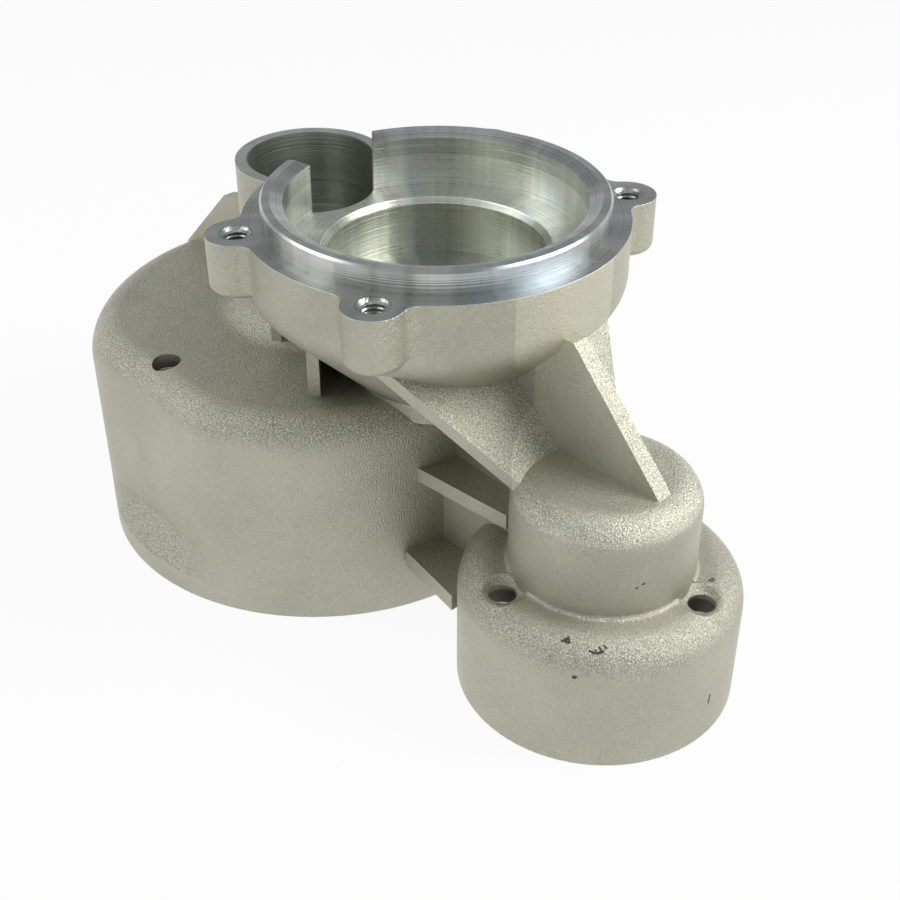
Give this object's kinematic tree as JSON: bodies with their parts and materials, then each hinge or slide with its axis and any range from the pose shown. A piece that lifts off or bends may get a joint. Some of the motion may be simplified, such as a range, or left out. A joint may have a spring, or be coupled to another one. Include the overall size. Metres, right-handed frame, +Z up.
{
  "type": "die cast housing",
  "caption": "Die cast aluminium gear housing: a bored cup with tapped ears on top, a pocket beside it, a large open bell and a smaller stepped body below, joined by webs.",
  "frame": {"origin": "on the axis of the large bell, in the plane of its open rim, which is also the plane of the stepped body's open rim", "axes": "+Z up, out of the upper cup's mouth; +X from the bell's axis through the cup's axis, towards the stepped body"},
  "size_m": [0.1519, 0.0926, 0.0805],
  "materials": {
    "cast_aluminium": "shot-blasted die cast skin, machined bores, flange and ear faces"
  },
  "bodies": {
    "root": {"housing": "cast_aluminium"}
  },
  "joints": []
}
